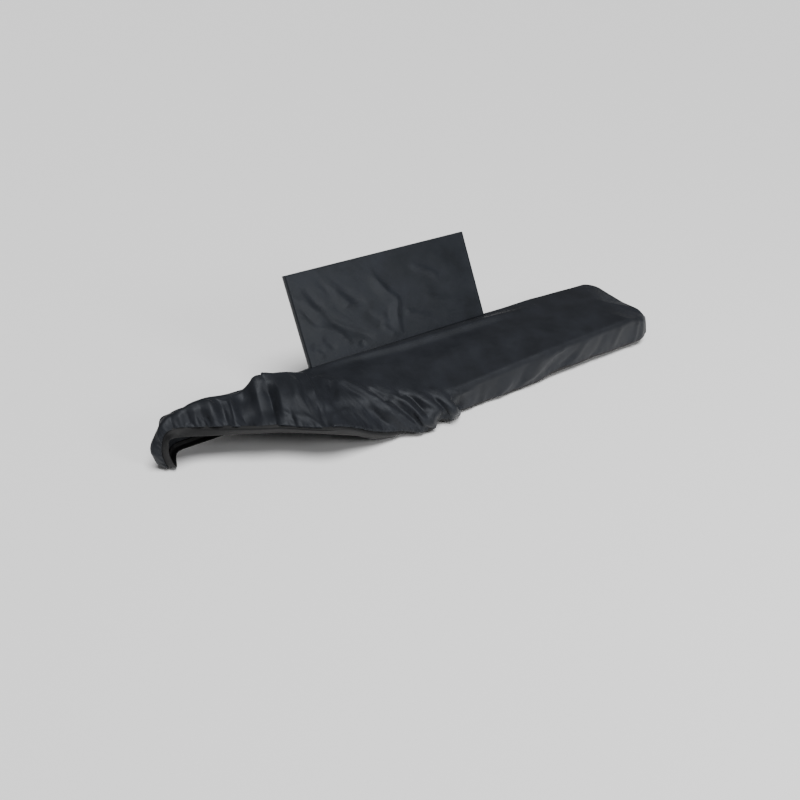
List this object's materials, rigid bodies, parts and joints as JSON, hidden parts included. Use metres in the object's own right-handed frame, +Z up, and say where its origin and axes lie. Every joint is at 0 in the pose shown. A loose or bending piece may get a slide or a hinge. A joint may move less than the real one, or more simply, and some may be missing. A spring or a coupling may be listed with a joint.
{
  "type": "digital piano cover",
  "caption": "Dark grey nylon dust cover for a slim digital piano, with an elastic hem and a sleeve over the music rest, its front left corner pulled up and pushed back in folds.",
  "frame": {"origin": "under the middle of the cover's top panel, just beneath the cloth, where the covered piano holds it up", "axes": "+X along the keyboard to the player's right, +Y from the player's side to the back, +Z up"},
  "size_m": [1.3604, 0.3732, 0.3016],
  "materials": {
    "body_panel": "plain-woven nylon with a soft satin sheen, near black with a blue-grey cast",
    "rest_sleeve_front": "the same nylon as the body panel",
    "rest_sleeve_back": "the same nylon as the body panel",
    "hem_elastic": "smooth dull stretched elastic webbing"
  },
  "bodies": {
    "root": {"body_panel": "body_panel", "rest_sleeve_front": "rest_sleeve_front", "rest_sleeve_back": "rest_sleeve_back", "hem_elastic": "hem_elastic"}
  },
  "joints": []
}
